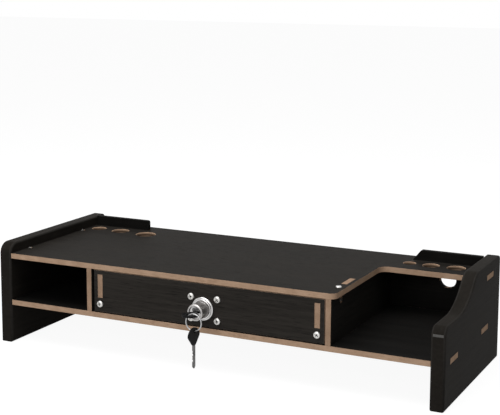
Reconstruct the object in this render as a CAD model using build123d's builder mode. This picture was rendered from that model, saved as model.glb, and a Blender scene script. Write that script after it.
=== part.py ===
from build123d import *
import math
import os

os.makedirs("parts", exist_ok=True)

# Case: X runs along the riser, -Y is its front, Z = 0 is the desk
case_width = 540.0
case_depth = 203.0
case_height = 118.0
side_thick = 15.5
board = 6.2
top_drop = 11.5
shelf_rise = 51.0
board_setback = 1.4
joint_play = 0.1
back_from_rear = 19.5
gallery_rise = 11.8

# Outlines of the two side panels, seen from the side
left_front_radius = 13.0
rear_radius = 4.0
right_front_drop = 31.3
right_front_radius = 10.0
swoop_start = 44.0
swoop_end = 118.0
swoop_crest_radius = 25.5

# Top board: notch over the right-hand bay, and pen holes, each with its distances in from the
# side panel and in from the rear, and its diameter
notch_from_divider = 4.5
notch_from_rear = 65.0
notch_outer_radius = 8.0
notch_inner_radius = 10.0
left_pen_holes = ((15.5, 38.0, 17.7), (47.7, 39.0, 21.4), (86.6, 42.0, 24.0))
right_pen_holes = ((78.6, 38.0, 14.0), (53.5, 38.0, 18.4), (24.5, 37.0, 20.3))
left_gallery_length = 76.5
right_gallery_length = 81.0
gallery_slope_run = 9.5
gallery_corner_radius = 2.5
cable_hole_from_side = 39.0
cable_hole_rise = 36.6
cable_hole_radius = 9.6

# Tenons: length along the joint and centres behind the front plane
tenon_length = 25.5
blind_tenon = 3.0
top_left_tenons = (35.0, 147.0)
top_right_tenons = (161.0,)
shelf_tenons = (30.5, 144.0)
divider_tenon_y = 57.3
divider_low_tenons = (57.3, 150.0)
divider_screw_y = 29.6
back_tenon_from_side = 51.5
middle_tenon_spread = 90.0

# Drawer
drawer_x = 0.2
drawer_front_width = 280.6
drawer_gap_left = 3.9
drawer_gap_right = 0.8
drawer_proud = 0.1
drawer_front_under = 1.1
drawer_front_top_gap = 0.6
drawer_side_inset = 8.0
drawer_run_gap = 0.3
drawer_bottom_thick = 3.0
drawer_side_top_gap = 3.8
drawer_stop_gap = 0.6
drawer_tab_over_screw = 7.2
drawer_tab_from_top = 1.7
drawer_screw_up = 6.9
back_tab_gap = 8.2
back_tab_inset = 5.0

# Pan head screws and their nuts
screw_radius = 1.95
screw_clearance = 0.2
screw_head_radius = 3.9
screw_head_height = 2.6
screw_head_round = 1.5
divider_head_radius = 3.1
divider_head_height = 1.7
recess_width = 0.9
recess_span = 4.2
recess_depth = 1.3
board_screw_length = 16.0
lock_screw_length = 12.0
nut_width = 7.0
nut_thick = 3.2
nut_setback = 5.0
nut_play = 0.2
thread_play = 0.05

# Corner screws driven at 45 degrees through each board's end into the side panel
toe_radius = 1.4
toe_head_radius = 2.8
toe_head_height = 1.6
toe_length = 13.0
toe_sink = 1.3
toe_from_side = 2.5

# Lock
lock_over_bottom = 2.1
lock_aside = -1.05
barrel_radius = 9.2
barrel_reach = 19.8
barrel_rim_round = 1.5
plug_radius = 6.8
plug_running = 0.05
plug_recess = 1.8
hole_play = 0.3
escutcheon_radius = 13.0
escutcheon_edge = 1.4
escutcheon_height = 3.0
collar_radius = 11.1
collar_height = 4.3
collar_bevel = 0.7
case_plate_width = 40.0
case_plate_height = 32.0
case_plate_thick = 1.5
lock_plate_aside = 1.3
lock_screw_pitch_x = 32.0
lock_screw_pitch_z = 24.0
lock_wall = 1.2
journal_radius = 5.0
journal_stand = 0.2
crank_radius = 6.4
crank_thick = 1.5
crank_throw = 3.6
crank_pin_radius = 1.2
crank_pin_length = 2.6
bolt_width = 14.0
bolt_thick = 3.0
bolt_play = 0.3
bolt_tail = 6.0
bolt_top_drop = 0.5
mortise_play = 1.0
mortise_slack = 0.9
case_box_below = 8.5
case_box_above = 12.0

# Keys and their ring
bow_width = 20.0
bow_length = 18.6
bow_thick = 2.4
bow_shoulder = 9.0
bow_neck = 5.2
bow_corner_radius = 4.0
bow_hole_in = 5.2
bow_hole_radius = 2.9
bow_sink = 0.9
blade_width = 4.3
blade_thick = 1.3
blade_length = 26.0
blade_tang = 6.0
blade_point = 2.2
tang_play = 0.05
keyway_play = 0.12
bitting_depths = (0.9, 1.5, 0.7, 1.3)
bitting_pitch = 3.2
bitting_start = 7.5
ring_radius = 9.0
ring_wire = 1.3
ring_band = 2.2
ring_wire_round = 0.6
ring_side = 5.9
ring_drop = 6.4
ring_rest_gap = 0.15
spare_turn = -7.0


def block(x, y, z, mode=Mode.ADD):
    """A box between two corners, each of x, y and z as (low, high)."""
    middle = ((x[0] + x[1]) / 2, (y[0] + y[1]) / 2, (z[0] + z[1]) / 2)
    with Locations(middle):
        Box(x[1] - x[0], y[1] - y[0], z[1] - z[0], mode=mode)


def bore(start, direction, radius, length, mode=Mode.SUBTRACT):
    """A round hole, or with Mode.ADD a pin, from start along direction."""
    with Locations(Plane(origin=start, z_dir=direction)):
        Cylinder(radius, length, align=(Align.CENTER, Align.CENTER, Align.MIN), mode=mode)


def around(middle, length):
    """The (low, high) pair of a length about its middle."""
    return (middle - length / 2, middle + length / 2)


# Key forms, flat on the XY plane: the origin is the ring hole's centre and +Y points at the blade
bow_tip = bow_length - bow_hole_in
bow_side = bow_shoulder - bow_hole_in
with BuildPart() as bow_form:
    with BuildSketch(Plane.XY.offset(-bow_thick / 2)) as bow_outline:
        with BuildLine():
            ThreePointArc((-bow_width / 2, bow_side), (0, -bow_hole_in), (bow_width / 2, bow_side))
            Polyline(
                (bow_width / 2, bow_side),
                (bow_neck / 2, bow_tip),
                (-bow_neck / 2, bow_tip),
                (-bow_width / 2, bow_side),
            )
        make_face()
        for side in (-1, 1):
            shoulder = bow_outline.vertices().sort_by_distance((side * bow_width / 2, bow_side))[0]
            fillet(shoulder, radius=bow_corner_radius)
    extrude(amount=bow_thick)
    bore((0, 0, -bow_thick / 2), (0, 0, 1), bow_hole_radius, bow_thick)
    block(
        around(0, blade_width + 2 * tang_play),
        (bow_tip - blade_tang - tang_play, bow_tip),
        around(0, blade_thick + 2 * tang_play),
        Mode.SUBTRACT,
    )

blade_edge = [(blade_width / 2, bow_tip - blade_tang)]
for number, cut_depth in enumerate(bitting_depths):
    cut_y = bow_tip + bitting_start + number * bitting_pitch
    blade_edge += [
        (blade_width / 2, cut_y - bitting_pitch / 2),
        (blade_width / 2 - cut_depth, cut_y - bitting_pitch / 8),
        (blade_width / 2 - cut_depth, cut_y + bitting_pitch / 8),
    ]
blade_end = bow_tip + blade_length
blade_edge += [
    (blade_width / 2, bow_tip + bitting_start + (len(bitting_depths) - 0.5) * bitting_pitch),
    (blade_width / 2, blade_end - blade_point),
    (0, blade_end),
    (-blade_width / 2, blade_end - blade_point),
    (-blade_width / 2, bow_tip - blade_tang),
]
with BuildPart() as blade_form:
    with BuildSketch(Plane.XY.offset(-blade_thick / 2)):
        with BuildLine():
            Polyline(*blade_edge, close=True)
        make_face()
    extrude(amount=blade_thick)

# Places worked out from the sizes above
half_width = case_width / 2
inner_x = half_width - side_thick
spare_reach = (
    barrel_reach
    + drawer_proud
    - board_setback
    + bow_length
    - bow_sink
    - bow_hole_in
    + bow_form.part.bounding_box().max.X * math.cos(math.radians(spare_turn))
    + bow_thick / 2 * abs(math.sin(math.radians(spare_turn)))
)
front_y = (spare_reach - case_depth) / 2
rear_y = front_y + case_depth
board_front = front_y + board_setback
top_rise = case_height - top_drop
top_under = top_rise - board
shelf_under = shelf_rise - board
back_y = rear_y - back_from_rear
back_rear = back_y + board
left_divider_x = drawer_x - drawer_front_width / 2 - drawer_gap_left - board / 2
right_divider_x = drawer_x + drawer_front_width / 2 + drawer_gap_right + board / 2
left_bay_right = left_divider_x - board / 2
drawer_bay_left = left_divider_x + board / 2
drawer_bay_right = right_divider_x - board / 2
right_bay_left = right_divider_x + board / 2
notch_x = right_bay_left + notch_from_divider
notch_rear = rear_y - notch_from_rear
gallery_top = top_rise + gallery_rise
left_gallery_end = left_gallery_length - inner_x
right_gallery_start = inner_x - right_gallery_length
cable_hole_x = inner_x - cable_hole_from_side
back_tenon_x = inner_x - back_tenon_from_side
bay_middle_x = (drawer_bay_left + drawer_bay_right) / 2
middle_tenons = [bay_middle_x - middle_tenon_spread, bay_middle_x + middle_tenon_spread]
face_y = board_front - drawer_proud
front_back_y = face_y + board
drawer_end_y = back_y - drawer_stop_gap
drawer_front_low = shelf_rise + drawer_front_under
drawer_front_high = top_under - drawer_front_top_gap
bottom_low = shelf_rise + drawer_run_gap
side_low = bottom_low + drawer_bottom_thick
side_high = top_under - drawer_side_top_gap
tab_high = side_high - drawer_tab_from_top
drawer_screw_rise = side_low + drawer_screw_up
tab_low = drawer_screw_rise + drawer_tab_over_screw
drawer_side_x = drawer_front_width / 2 - drawer_side_inset
lock_x = drawer_x + lock_aside
lock_plate_x = lock_x + lock_plate_aside
lock_rise = side_low + lock_over_bottom + case_plate_height / 2
lock_centre = Vector(lock_x, face_y, lock_rise)
barrel_end_y = face_y - barrel_reach
plate_rear_y = front_back_y + case_plate_thick
crank_y = plate_rear_y + journal_stand
bolt_y = crank_y + crank_thick + bolt_play
case_inner_y = bolt_y + bolt_thick + bolt_play
bolt_high = drawer_front_high - bolt_top_drop
bow_hole_y = barrel_end_y + bow_sink - bow_length + bow_hole_in
ring_centre = Vector(lock_x + ring_side, bow_hole_y, lock_rise - ring_drop)
ring_inside_low = ring_centre.Z - ring_radius + ring_wire / 2
spare_hole_rise = ring_inside_low + ring_rest_gap - math.sqrt(bow_hole_radius**2 - (ring_band / 2) ** 2)
screw_hole_radius = screw_radius + screw_clearance


def toe_axis(end, rise, y, board_up):
    """Seat plane of a corner screw; end is -1 left or +1 right, board_up +1 on the top board."""
    start = (end * (inner_x - toe_from_side), front_y + y, rise)
    return Plane(origin=start, z_dir=(end, 0, -board_up))


toe_seats_top = [toe_axis(-1, top_rise, y, 1) for y in top_left_tenons]
toe_seats_top += [toe_axis(1, top_rise, y, 1) for y in top_right_tenons]
toe_seats_shelf = [toe_axis(end, shelf_under, y, -1) for end in (-1, 1) for y in shelf_tenons]


def toe_holes(seats):
    """Clearance holes of the corner screws, with a pocket that sinks the head."""
    for seat in seats:
        shank_start = seat.origin + seat.z_dir * -toe_head_height
        bore(shank_start, seat.z_dir, toe_radius + joint_play, toe_length + toe_head_height + toe_sink)
        pocket_start = seat.origin - seat.z_dir * (toe_head_radius * 2)
        bore(pocket_start, seat.z_dir, toe_head_radius + joint_play, toe_head_radius * 2 + toe_sink)


def side_mortises(x, centres, rise):
    """Slots through a side panel for one board's tenons."""
    for y in centres:
        block(
            x,
            around(front_y + y, tenon_length + 2 * joint_play),
            (rise - board - joint_play, rise + joint_play),
            mode=Mode.SUBTRACT,
        )


# Left side panel: one height, rounded upper corners
with BuildPart() as left_side_panel:
    with BuildSketch(Plane.YZ.offset(-half_width)):
        with BuildLine():
            Line((front_y, 0), (front_y, case_height - left_front_radius))
            TangentArc(
                (front_y, case_height - left_front_radius),
                (front_y + left_front_radius, case_height),
                tangent=(0, 1),
            )
            Line((front_y + left_front_radius, case_height), (rear_y - rear_radius, case_height))
            TangentArc(
                (rear_y - rear_radius, case_height),
                (rear_y, case_height - rear_radius),
                tangent=(1, 0),
            )
            Polyline((rear_y, case_height - rear_radius), (rear_y, 0), (front_y, 0))
        make_face()
    extrude(amount=side_thick)
    side_mortises((-half_width, -inner_x), top_left_tenons, top_rise)
    side_mortises((-half_width, -inner_x), shelf_tenons, shelf_rise)
    toe_holes(seat for seat in toe_seats_top + toe_seats_shelf if seat.origin.X < 0)
left_side_panel.part.label = "left_side_panel"

# Right side panel: low at the front, with a hollow and a crest that sweep up to full height
right_front_rise = case_height - right_front_drop
swoop_run = swoop_end - swoop_start
swoop_climb = right_front_drop
swoop_radii = (swoop_run**2 + swoop_climb**2) / (2 * swoop_climb)
swoop_angle = math.asin(swoop_run / swoop_radii)
hollow_radius = swoop_radii - swoop_crest_radius
hollow_end = (
    front_y + swoop_start + hollow_radius * math.sin(swoop_angle),
    right_front_rise + hollow_radius * (1 - math.cos(swoop_angle)),
)
with BuildPart() as right_side_panel:
    with BuildSketch(Plane.YZ.offset(inner_x)):
        with BuildLine():
            Line((front_y, 0), (front_y, right_front_rise - right_front_radius))
            TangentArc(
                (front_y, right_front_rise - right_front_radius),
                (front_y + right_front_radius, right_front_rise),
                tangent=(0, 1),
            )
            ledge_start = (front_y + right_front_radius, right_front_rise)
            Line(ledge_start, (front_y + swoop_start, right_front_rise))
            TangentArc((front_y + swoop_start, right_front_rise), hollow_end, tangent=(1, 0))
            TangentArc(
                hollow_end,
                (front_y + swoop_end, case_height),
                tangent=(math.cos(swoop_angle), math.sin(swoop_angle)),
            )
            Line((front_y + swoop_end, case_height), (rear_y - rear_radius, case_height))
            TangentArc(
                (rear_y - rear_radius, case_height),
                (rear_y, case_height - rear_radius),
                tangent=(1, 0),
            )
            Polyline((rear_y, case_height - rear_radius), (rear_y, 0), (front_y, 0))
        make_face()
    extrude(amount=side_thick)
    side_mortises((inner_x, half_width), top_right_tenons, top_rise)
    side_mortises((inner_x, half_width), shelf_tenons, shelf_rise)
    toe_holes(seat for seat in toe_seats_top + toe_seats_shelf if seat.origin.X > 0)
right_side_panel.part.label = "right_side_panel"

# Top board: notched over the right-hand bay, with pen holes, slots and the bolt's blind mortise
with BuildPart() as top_board:
    with BuildSketch(Plane.XY.offset(top_under)) as top_outline:
        with BuildLine():
            Polyline(
                (-inner_x, board_front),
                (notch_x, board_front),
                (notch_x, notch_rear),
                (inner_x, notch_rear),
                (inner_x, rear_y),
                (-inner_x, rear_y),
                close=True,
            )
        make_face()
        outer_corner = top_outline.vertices().sort_by_distance((notch_x, board_front))[0]
        fillet(outer_corner, radius=notch_outer_radius)
        inner_corner = top_outline.vertices().sort_by_distance((notch_x, notch_rear))[0]
        fillet(inner_corner, radius=notch_inner_radius)
    extrude(amount=board)
    for centre in top_left_tenons:
        block((-half_width, -inner_x), around(front_y + centre, tenon_length), (top_under, top_rise))
    for centre in top_right_tenons:
        block((inner_x, half_width), around(front_y + centre, tenon_length), (top_under, top_rise))
    for end, pen_holes in ((-1, left_pen_holes), (1, right_pen_holes)):
        for from_side, from_rear, hole_width in pen_holes:
            hole_start = (end * (inner_x - from_side), rear_y - from_rear, top_under)
            bore(hole_start, (0, 0, 1), hole_width / 2, board)
    slot_y = (back_y - joint_play, back_rear + joint_play)
    block((-inner_x, left_gallery_end + joint_play), slot_y, (top_under, top_rise), Mode.SUBTRACT)
    block((right_gallery_start - joint_play, inner_x), slot_y, (top_under, top_rise), Mode.SUBTRACT)
    block(
        around(right_divider_x, board + 2 * joint_play),
        around(front_y + divider_tenon_y, tenon_length + 2 * joint_play),
        (top_under, top_rise),
        Mode.SUBTRACT,
    )
    block(
        around(left_divider_x, board + 2 * joint_play),
        around(front_y + divider_tenon_y, tenon_length + 2 * joint_play),
        (top_under, top_under + blind_tenon + joint_play),
        Mode.SUBTRACT,
    )
    for tenon_x in middle_tenons:
        block(
            around(tenon_x, tenon_length + 2 * joint_play),
            slot_y,
            (top_under, top_under + blind_tenon + joint_play),
            Mode.SUBTRACT,
        )
    bore((right_divider_x, front_y + divider_screw_y, top_under), (0, 0, 1), screw_hole_radius, board)
    block(
        around(lock_x, bolt_width + 2 * mortise_play),
        (bolt_y - mortise_play, bolt_y + bolt_thick + mortise_play),
        (top_under, bolt_high + crank_throw + mortise_slack),
        Mode.SUBTRACT,
    )
    toe_holes(toe_seats_top)
top_board.part.label = "top_board"

# Shelf board
with BuildPart() as shelf_board:
    block((-inner_x, inner_x), (board_front, rear_y), (shelf_under, shelf_rise))
    for centre in shelf_tenons:
        block((-half_width, half_width), around(front_y + centre, tenon_length), (shelf_under, shelf_rise))
    for divider_x in (left_divider_x, right_divider_x):
        for centre in divider_low_tenons:
            block(
                around(divider_x, board + 2 * joint_play),
                around(front_y + centre, tenon_length + 2 * joint_play),
                (shelf_under, shelf_rise),
                Mode.SUBTRACT,
            )
    for tenon_x in [-back_tenon_x, back_tenon_x] + middle_tenons:
        slot_x = around(tenon_x, tenon_length + 2 * joint_play)
        block(slot_x, slot_y, (shelf_under, shelf_rise), Mode.SUBTRACT)
    toe_holes(toe_seats_shelf)
shelf_board.part.label = "shelf_board"


def divider_board(x, top_tenon):
    """An upright between shelf and top, with tenons down through the shelf and one up."""
    block(around(x, board), (board_front, back_rear), (shelf_rise, top_under))
    for centre in divider_low_tenons:
        block(around(x, board), around(front_y + centre, tenon_length), (shelf_under, shelf_rise))
    top_tenon_y = around(front_y + divider_tenon_y, tenon_length)
    block(around(x, board), top_tenon_y, (top_under, top_under + top_tenon))


# Left divider: blind tenon, nothing shows on the top
with BuildPart() as left_divider:
    divider_board(left_divider_x, blind_tenon)
left_divider.part.label = "left_divider"

# Right divider: through tenon, and a slot for the screw and its square nut
with BuildPart() as right_divider:
    divider_board(right_divider_x, board)
    screw_slot_low = top_rise - board_screw_length - screw_clearance
    block(
        around(right_divider_x, board),
        around(front_y + divider_screw_y, 2 * screw_hole_radius),
        (screw_slot_low, top_under),
        Mode.SUBTRACT,
    )
    block(
        around(right_divider_x, board),
        around(front_y + divider_screw_y, nut_width + 2 * nut_play),
        (top_under - nut_setback - nut_thick - nut_play, top_under - nut_setback),
        Mode.SUBTRACT,
    )
right_divider.part.label = "right_divider"


def back_outline(low_x, high_x):
    """Lower part of a back panel in the bay between two uprights."""
    block((low_x + joint_play, high_x - joint_play), (back_y, back_rear), (shelf_rise, top_under))


# Left back panel: its upper tongue comes through the top as the rear gallery
with BuildPart() as left_back_panel:
    back_outline(-inner_x, left_bay_right)
    block(around(-back_tenon_x, tenon_length), (back_y, back_rear), (shelf_under, shelf_rise))
    with BuildSketch(Plane.XZ.offset(-back_rear)) as left_tongue:
        with BuildLine():
            Polyline(
                (-inner_x + joint_play, top_under),
                (-inner_x + joint_play, gallery_top),
                (left_gallery_end, gallery_top),
                (left_gallery_end, top_under),
                close=True,
            )
        make_face()
        tongue_corner = left_tongue.vertices().sort_by_distance((left_gallery_end, gallery_top))[0]
        fillet(tongue_corner, radius=gallery_corner_radius)
    extrude(amount=board)
left_back_panel.part.label = "left_back_panel"

# Middle back panel: closes the drawer bay and stops the drawer
with BuildPart() as middle_back_panel:
    back_outline(drawer_bay_left, drawer_bay_right)
    for tenon_x in middle_tenons:
        block(around(tenon_x, tenon_length), (back_y, back_rear), (shelf_under, top_under + blind_tenon))
middle_back_panel.part.label = "middle_back_panel"

# Right back panel: cable hole, and a tongue with a sloping end
with BuildPart() as right_back_panel:
    back_outline(right_bay_left, inner_x)
    block(around(back_tenon_x, tenon_length), (back_y, back_rear), (shelf_under, shelf_rise))
    with BuildSketch(Plane.XZ.offset(-back_rear)) as right_tongue:
        with BuildLine():
            Polyline(
                (right_gallery_start, top_under),
                (right_gallery_start, top_rise),
                (right_gallery_start + gallery_slope_run, gallery_top),
                (inner_x - joint_play, gallery_top),
                (inner_x - joint_play, top_under),
                close=True,
            )
        make_face()
        slope_top = (right_gallery_start + gallery_slope_run, gallery_top)
        tongue_corner = right_tongue.vertices().sort_by_distance(slope_top)[0]
        fillet(tongue_corner, radius=gallery_corner_radius)
    extrude(amount=board)
    bore((cable_hole_x, back_y, shelf_rise + cable_hole_rise), (0, 1, 0), cable_hole_radius, board)
right_back_panel.part.label = "right_back_panel"

# Drawer front: slots for the side tabs, screw holes and the lock's holes
lock_screw_places = [
    (lock_plate_x + across * lock_screw_pitch_x / 2, lock_rise + up * lock_screw_pitch_z / 2)
    for across in (-1, 1)
    for up in (-1, 1)
]
drawer_side_places = (drawer_x - drawer_side_x, drawer_x + drawer_side_x)
with BuildPart() as drawer_front:
    block(around(drawer_x, drawer_front_width), (face_y, front_back_y), (drawer_front_low, drawer_front_high))
    for side_x in drawer_side_places:
        block(
            around(side_x, board + 2 * joint_play),
            (face_y, front_back_y),
            (tab_low - joint_play, tab_high + joint_play),
            Mode.SUBTRACT,
        )
        bore((side_x, face_y, drawer_screw_rise), (0, 1, 0), screw_hole_radius, board)
    for screw_x, screw_z in lock_screw_places:
        bore((screw_x, face_y, screw_z), (0, 1, 0), screw_hole_radius, board)
    bore(lock_centre, (0, 1, 0), barrel_radius + hole_play, board)
drawer_front.part.label = "drawer_front"


def drawer_side(x):
    """A drawer side with its front tab, its screw slot and the slots for the drawer back."""
    block(around(x, board), (front_back_y, drawer_end_y), (side_low, side_high))
    block(around(x, board), (face_y, front_back_y), (tab_low, tab_high))
    block(
        around(x, board),
        (front_back_y, face_y + board_screw_length + screw_clearance),
        around(drawer_screw_rise, 2 * screw_hole_radius),
        Mode.SUBTRACT,
    )
    block(
        around(x, board),
        (front_back_y + nut_setback, front_back_y + nut_setback + nut_thick + nut_play),
        around(drawer_screw_rise, nut_width + 2 * nut_play),
        Mode.SUBTRACT,
    )
    for tab_z in back_tab_places:
        block(
            around(x, board),
            (drawer_end_y - 2 * board - joint_play, drawer_end_y - board + joint_play),
            around(tab_z, back_tab_height + 2 * joint_play),
            Mode.SUBTRACT,
        )


back_tab_height = (side_high - side_low - back_tab_gap) / 2 - back_tab_inset
back_tab_places = (
    side_low + back_tab_inset + back_tab_height / 2,
    side_high - back_tab_inset - back_tab_height / 2,
)
with BuildPart() as drawer_left_side:
    drawer_side(drawer_side_places[0])
drawer_left_side.part.label = "drawer_left_side"

with BuildPart() as drawer_right_side:
    drawer_side(drawer_side_places[1])
drawer_right_side.part.label = "drawer_right_side"

# Drawer back: two tabs into each side, one board in from the sides' ends
with BuildPart() as drawer_back:
    back_span = (
        drawer_side_places[0] + board / 2 + joint_play,
        drawer_side_places[1] - board / 2 - joint_play,
    )
    block(back_span, (drawer_end_y - 2 * board, drawer_end_y - board), (side_low, side_high))
    for tab_z in back_tab_places:
        block(
            (drawer_side_places[0] - board / 2, drawer_side_places[1] + board / 2),
            (drawer_end_y - 2 * board, drawer_end_y - board),
            around(tab_z, back_tab_height),
        )
drawer_back.part.label = "drawer_back"

# Drawer bottom: glued under the sides and the back
with BuildPart() as drawer_bottom:
    block(
        (drawer_side_places[0] - board / 2, drawer_side_places[1] + board / 2),
        (front_back_y, drawer_end_y),
        (bottom_low, side_low),
    )
drawer_bottom.part.label = "drawer_bottom"


def screw_form(length, head_radius, head_height):
    """A pan head screw at the origin: the head's seat at Z = 0 and the shank along +Z."""
    with BuildPart() as form:
        with Locations((0, 0, -head_height)):
            Cylinder(head_radius, head_height, align=(Align.CENTER, Align.CENTER, Align.MIN))
        fillet(form.edges().sort_by(Axis.Z)[0], radius=screw_head_round)
        with Locations((0, 0, 0)):
            Cylinder(screw_radius, length, align=(Align.CENTER, Align.CENTER, Align.MIN))
        block(
            around(0, recess_span),
            around(0, recess_width),
            (-head_height, -head_height + recess_depth),
            Mode.SUBTRACT,
        )
        block(
            around(0, recess_width),
            around(0, recess_span),
            (-head_height, -head_height + recess_depth),
            Mode.SUBTRACT,
        )
    return form.part


board_screw = screw_form(board_screw_length, screw_head_radius, screw_head_height)
lock_screw = screw_form(lock_screw_length, screw_head_radius, screw_head_height)


def into_front(x, z, y=face_y):
    """Plane on the drawer's face with +Z pointing into the drawer."""
    return Plane(origin=(x, y, z), x_dir=(1, 0, 0), z_dir=(0, 1, 0))


# Drawer front screws, one below each tab
with BuildPart() as drawer_front_screws:
    with Locations([into_front(side_x, drawer_screw_rise) for side_x in drawer_side_places]):
        add(board_screw)
drawer_front_screws.part.label = "drawer_front_screws"

# Divider screw, down through the top board
with BuildPart() as divider_screw:
    divider_screw_seat = (right_divider_x, front_y + divider_screw_y, top_rise)
    with Locations(Plane(origin=divider_screw_seat, x_dir=(1, 0, 0), z_dir=(0, 0, -1))):
        add(screw_form(board_screw_length, divider_head_radius, divider_head_height))
divider_screw.part.label = "divider_screw"

# Square nuts, caught in the slots of the boards' ends
with BuildPart() as drawer_front_nuts:
    for side_x in drawer_side_places:
        block(
            around(side_x, nut_width),
            (front_back_y + nut_setback, front_back_y + nut_setback + nut_thick),
            around(drawer_screw_rise, nut_width),
        )
        bore((side_x, face_y, drawer_screw_rise), (0, 1, 0), screw_radius + thread_play, board_screw_length)
drawer_front_nuts.part.label = "drawer_front_nuts"

with BuildPart() as divider_nut:
    block(
        around(right_divider_x, nut_width),
        around(front_y + divider_screw_y, nut_width),
        (top_under - nut_setback - nut_thick, top_under - nut_setback),
    )
    bore(
        (right_divider_x, front_y + divider_screw_y, top_rise),
        (0, 0, -1),
        screw_radius + thread_play,
        board_screw_length,
    )
divider_nut.part.label = "divider_nut"

# Corner screws, seven alike
with BuildPart() as toe_screw:
    with Locations((0, 0, toe_sink - toe_head_height)):
        Cylinder(toe_head_radius, toe_head_height, align=(Align.CENTER, Align.CENTER, Align.MIN))
    with Locations((0, 0, toe_sink)):
        Cylinder(toe_radius, toe_length, align=(Align.CENTER, Align.CENTER, Align.MIN))
    block(
        around(0, recess_width),
        around(0, toe_head_radius),
        (toe_sink - toe_head_height, toe_sink - toe_head_height / 2),
        Mode.SUBTRACT,
    )
with BuildPart() as corner_screws:
    with Locations(toe_seats_top + toe_seats_shelf):
        add(toe_screw.part)
corner_screws.part.label = "corner_screws"

# Lock case: a flanged plate behind the drawer front with a box that guides the bolt
box_x = around(lock_x, bolt_width + 2 * bolt_play + 2 * lock_wall)
box_z = (lock_rise - case_box_below, lock_rise + case_box_above)
with BuildPart() as lock_case:
    block(
        around(lock_plate_x, case_plate_width),
        (front_back_y, plate_rear_y),
        around(lock_rise, case_plate_height),
    )
    block(box_x, (plate_rear_y, case_inner_y + lock_wall), box_z)
    block(
        around(lock_x, bolt_width + 2 * bolt_play),
        (plate_rear_y, case_inner_y),
        (box_z[0] + lock_wall, box_z[1] - lock_wall),
        Mode.SUBTRACT,
    )
    block(
        around(lock_x, bolt_width + 2 * bolt_play),
        (bolt_y - bolt_play, case_inner_y),
        (box_z[1] - lock_wall, box_z[1]),
        Mode.SUBTRACT,
    )
    bore((lock_x, front_back_y, lock_rise), (0, 1, 0), journal_radius + plug_running, case_plate_thick)
    for screw_x, screw_z in lock_screw_places:
        bore((screw_x, front_back_y, screw_z), (0, 1, 0), screw_hole_radius, case_plate_thick)
lock_case.part.label = "lock_case"

# Lock case screws and their square nuts behind the plate
with BuildPart() as lock_case_screws:
    with Locations([into_front(x, z) for x, z in lock_screw_places]):
        add(lock_screw)
lock_case_screws.part.label = "lock_case_screws"

with BuildPart() as lock_case_nuts:
    for screw_x, screw_z in lock_screw_places:
        block(
            around(screw_x, nut_width),
            (plate_rear_y, plate_rear_y + nut_thick),
            around(screw_z, nut_width),
        )
        bore((screw_x, plate_rear_y, screw_z), (0, 1, 0), screw_radius + thread_play, nut_thick)
lock_case_nuts.part.label = "lock_case_nuts"

# Escutcheon: a domed flange with a raised collar round the barrel
lock_axis = Axis(lock_centre, (0, -1, 0))
lock_section = Plane(origin=lock_centre, x_dir=(1, 0, 0), z_dir=(0, 0, -1))
with BuildPart() as lock_escutcheon:
    with BuildSketch(lock_section):
        with BuildLine():
            Polyline(
                (barrel_radius + hole_play, 0),
                (escutcheon_radius, 0),
                (escutcheon_radius, escutcheon_edge),
            )
            TangentArc(
                (escutcheon_radius, escutcheon_edge),
                (escutcheon_radius - escutcheon_edge, escutcheon_height),
                tangent=(0, 1),
            )
            Polyline(
                (escutcheon_radius - escutcheon_edge, escutcheon_height),
                (collar_radius, escutcheon_height),
                (collar_radius, collar_height - collar_bevel),
                (collar_radius - collar_bevel, collar_height),
                (barrel_radius + hole_play, collar_height),
                (barrel_radius + hole_play, 0),
            )
        make_face()
    revolve(axis=lock_axis)
lock_escutcheon.part.label = "lock_escutcheon"

# Barrel: the fixed tube that stands out of the drawer front
with BuildPart() as lock_barrel:
    bore((lock_x, barrel_end_y, lock_rise), (0, 1, 0), barrel_radius, barrel_reach + board, Mode.ADD)
    fillet(lock_barrel.edges().filter_by(GeomType.CIRCLE).sort_by(Axis.Y)[0], radius=barrel_rim_round)
    bore((lock_x, barrel_end_y, lock_rise), (0, 1, 0), plug_radius + plug_running, barrel_reach + board)
lock_barrel.part.label = "lock_barrel"

# Plug: turns in the barrel, with a flat keyway across it while the bolt is down
keyway_end_y = barrel_end_y + bow_sink + blade_length + keyway_play
with BuildPart() as lock_plug:
    plug_y = barrel_end_y + plug_recess
    bore((lock_x, plug_y, lock_rise), (0, 1, 0), plug_radius, front_back_y - plug_y, Mode.ADD)
    bore((lock_x, front_back_y, lock_rise), (0, 1, 0), journal_radius, crank_y - front_back_y, Mode.ADD)
    block(
        around(lock_x, blade_width + 2 * keyway_play),
        (plug_y, keyway_end_y),
        around(lock_rise, blade_thick + 2 * keyway_play),
        Mode.SUBTRACT,
    )
lock_plug.part.label = "lock_plug"

# Crank: the disc on the plug's end whose pin lifts the bolt
with BuildPart() as lock_crank:
    bore((lock_x, crank_y, lock_rise), (0, 1, 0), crank_radius, crank_thick, Mode.ADD)
    bore(
        (lock_x - crank_throw, crank_y + crank_thick, lock_rise),
        (0, 1, 0),
        crank_pin_radius,
        crank_pin_length,
        Mode.ADD,
    )
lock_crank.part.label = "lock_crank"

# Bolt: a flat bar with a cross slot for the crank pin; the pin runs ahead of a steady lift by pin_lead
pin_lead = crank_throw * (math.sqrt(1 - (2 / math.pi) ** 2) - math.acos(2 / math.pi) * 2 / math.pi)
with BuildPart() as lock_bolt:
    block(
        around(lock_x, bolt_width),
        (bolt_y, bolt_y + bolt_thick),
        (lock_rise - bolt_tail, bolt_high),
    )
    block(
        (lock_x - crank_throw - crank_pin_radius - bolt_play, lock_x + crank_pin_radius + bolt_play),
        (bolt_y, bolt_y + bolt_thick),
        (lock_rise - crank_pin_radius - bolt_play, lock_rise + crank_pin_radius + pin_lead + bolt_play),
        Mode.SUBTRACT,
    )
lock_bolt.part.label = "lock_bolt"


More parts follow.
